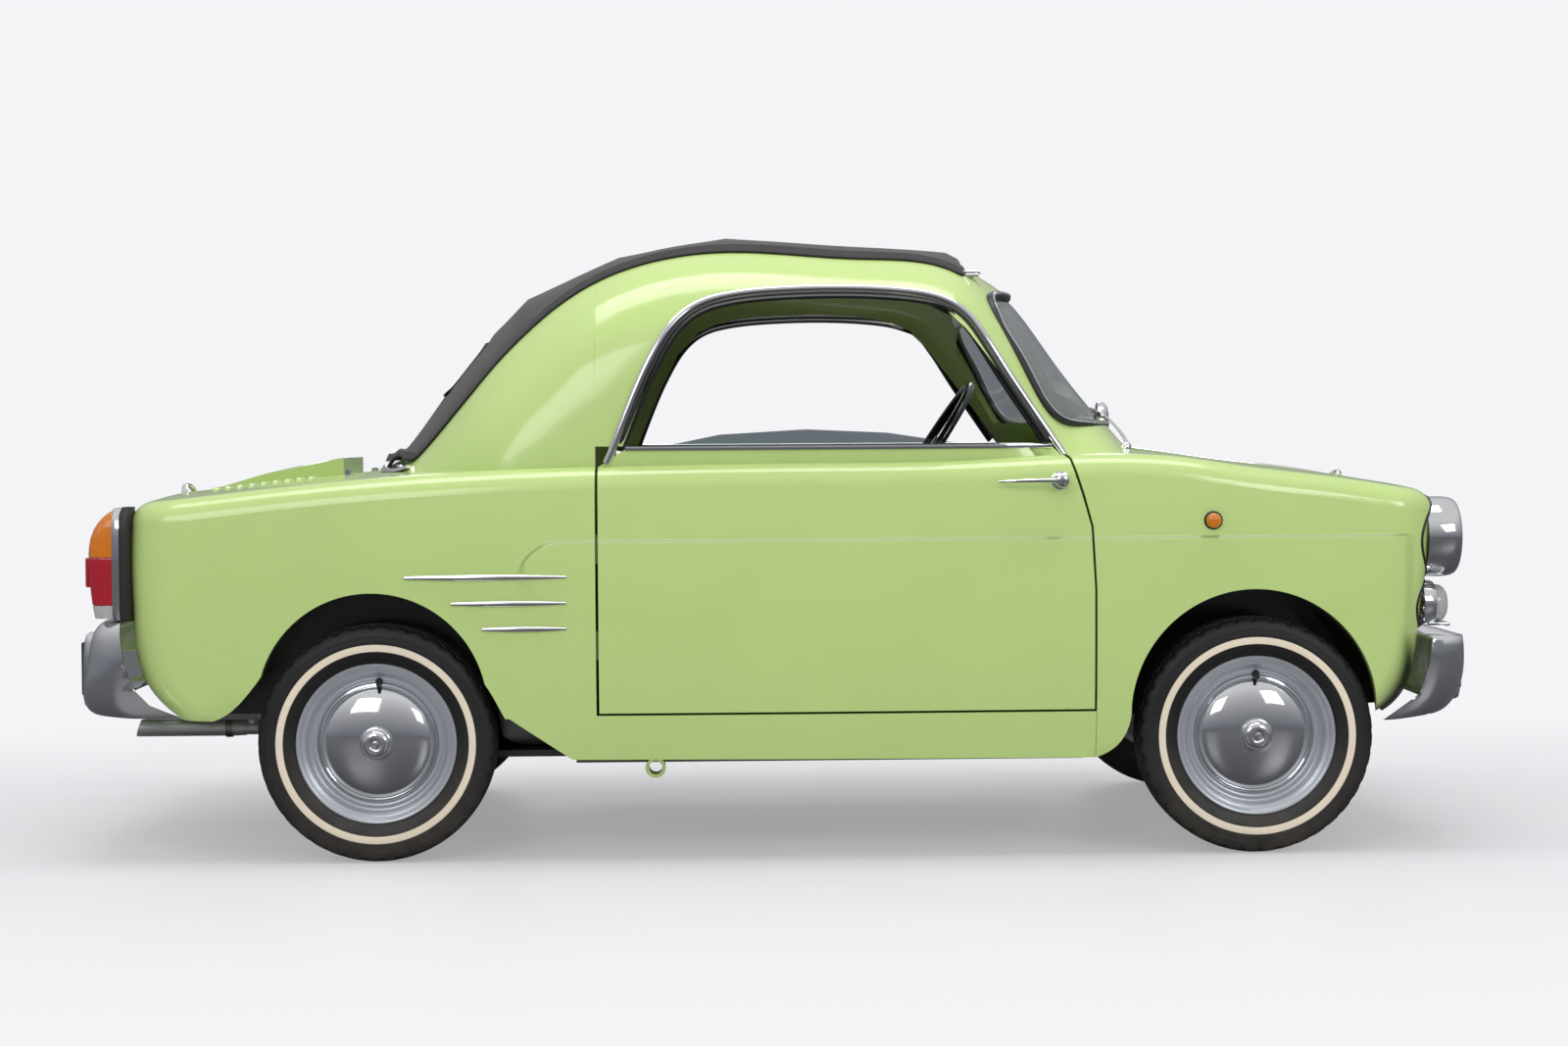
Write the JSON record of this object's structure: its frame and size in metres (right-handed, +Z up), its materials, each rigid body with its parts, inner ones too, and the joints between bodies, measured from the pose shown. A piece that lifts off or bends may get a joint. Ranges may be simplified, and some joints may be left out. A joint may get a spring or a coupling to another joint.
{
  "type": "two-seat microcar with fabric roof",
  "caption": "Small rear-engined two-seat car with rounded body, folding fabric roof, rear-hinged doors, opening lids, free-turning wheels and working steering.",
  "frame": {"origin": "on the ground, in the middle of the overall length and width", "axes": "+X forward, +Y to the car's left, +Z up"},
  "size_m": [3.018, 1.324, 1.3252],
  "materials": {
    "body_paint": "gloss lime green enamel",
    "underbody": "black underseal",
    "inner_paint": "green enamel, semi gloss",
    "chrome": "bright chrome",
    "glass": "clear glass, faint green",
    "tail_lens": "red and amber lens",
    "tyre": "black rubber with cream line",
    "wheel_silver": "silver paint, chrome cap",
    "fabric": "charcoal canvas",
    "clear_sheet": "flexible clear sheet",
    "trim_cloth": "grey leathercloth",
    "black_plastic": "black moulded rim",
    "steel": "bare and painted steel",
    "cast": "cast alloy"
  },
  "bodies": {
    "body": {"cowl": "body_paint", "dashboard": "inner_paint", "driver_seat": "trim_cloth", "engine": "cast", "exhaust": "steel", "fabric_roof": "fabric", "floor_pan": "underbody", "front_bulkhead": "inner_paint", "front_bumper": "chrome", "front_lamps": "chrome", "front_suspension": "steel", "left_front_fender": "body_paint", "left_rear_quarter": "body_paint", "left_sill": "body_paint", "nose_panel": "body_paint", "passenger_seat": "trim_cloth", "rear_bench": "trim_cloth", "rear_bulkhead": "inner_paint", "rear_bumper": "chrome", "rear_deck": "body_paint", "rear_suspension": "steel", "rear_window": "clear_sheet", "right_front_fender": "body_paint", "right_rear_quarter": "body_paint", "right_sill": "body_paint", "roof_bows": "steel", "seat_frames": "steel", "steering_column": "steel", "tail_lamps": "tail_lens", "tail_panel": "body_paint", "windscreen": "glass", "windscreen_frame": "body_paint", "wing_mirror": "chrome"},
    "right_door": {"right_door": "body_paint", "right_door_glass": "glass"},
    "left_door": {"left_door": "body_paint", "left_door_glass": "glass"},
    "bonnet": {"bonnet": "body_paint"},
    "engine_lid": {"engine_lid": "body_paint"},
    "steering_wheel": {"steering_wheel": "black_plastic"},
    "right_knuckle": {"right_knuckle": "steel"},
    "left_knuckle": {"left_knuckle": "steel"},
    "front_right_wheel": {"front_right_wheel": "wheel_silver", "front_right_tyre": "tyre"},
    "front_left_wheel": {"front_left_wheel": "wheel_silver", "front_left_tyre": "tyre"},
    "rear_right_wheel": {"rear_right_wheel": "wheel_silver", "rear_right_tyre": "tyre"},
    "rear_left_wheel": {"rear_left_wheel": "wheel_silver", "rear_left_tyre": "tyre"}
  },
  "joints": [
    {"name": "right_door_swing", "type": "hinge", "parent": "body", "child": "right_door", "pos_m": [-0.3755, -0.668, 0.56], "axis": [0, 0, -1], "range_deg": [0, 70]},
    {"name": "left_door_swing", "type": "hinge", "parent": "body", "child": "left_door", "pos_m": [-0.3755, 0.668, 0.56], "axis": [0, 0, 1], "range_deg": [0, 70]},
    {"name": "bonnet_lift", "type": "hinge", "parent": "body", "child": "bonnet", "pos_m": [0.7875, 0, 0.856], "axis": [0, -1, 0], "range_deg": [0, 60]},
    {"name": "engine_lid_lift", "type": "hinge", "parent": "body", "child": "engine_lid", "pos_m": [-0.9275, 0, 0.812], "axis": [0, 1, 0], "range_deg": [0, 60]},
    {"name": "steer_left", "type": "hinge", "parent": "body", "child": "left_knuckle", "pos_m": [1.002, 0.4685, 0.26], "axis": [0, 0, 1], "range_deg": [-32, 32]},
    {"name": "steer_right", "type": "hinge", "parent": "body", "child": "right_knuckle", "pos_m": [1.002, -0.4685, 0.26], "axis": [0, 0, 1], "range_deg": [-32, 32]},
    {"name": "steering_wheel_turn", "type": "hinge", "parent": "body", "child": "steering_wheel", "pos_m": [0.39, 0.3, 0.85], "axis": [-0.8386, 0, 0.5447], "range_deg": [-430, 430]},
    {"name": "front_left_spin", "type": "hinge", "parent": "left_knuckle", "child": "front_left_wheel", "pos_m": [1.002, 0.5605, 0.248], "axis": [0, 1, 0], "continuous": true},
    {"name": "front_right_spin", "type": "hinge", "parent": "right_knuckle", "child": "front_right_wheel", "pos_m": [1.002, -0.5605, 0.248], "axis": [0, 1, 0], "continuous": true},
    {"name": "rear_left_spin", "type": "hinge", "parent": "body", "child": "rear_left_wheel", "pos_m": [-0.838, 0.5675, 0.248], "axis": [0, 1, 0], "continuous": true},
    {"name": "rear_right_spin", "type": "hinge", "parent": "body", "child": "rear_right_wheel", "pos_m": [-0.838, -0.5675, 0.248], "axis": [0, 1, 0], "continuous": true}
  ],
  "couplings": [
    {"joint": "steer_right", "follows": "steer_left", "ratio": 1},
    {"joint": "steering_wheel_turn", "follows": "steer_left", "ratio": 13}
  ]
}
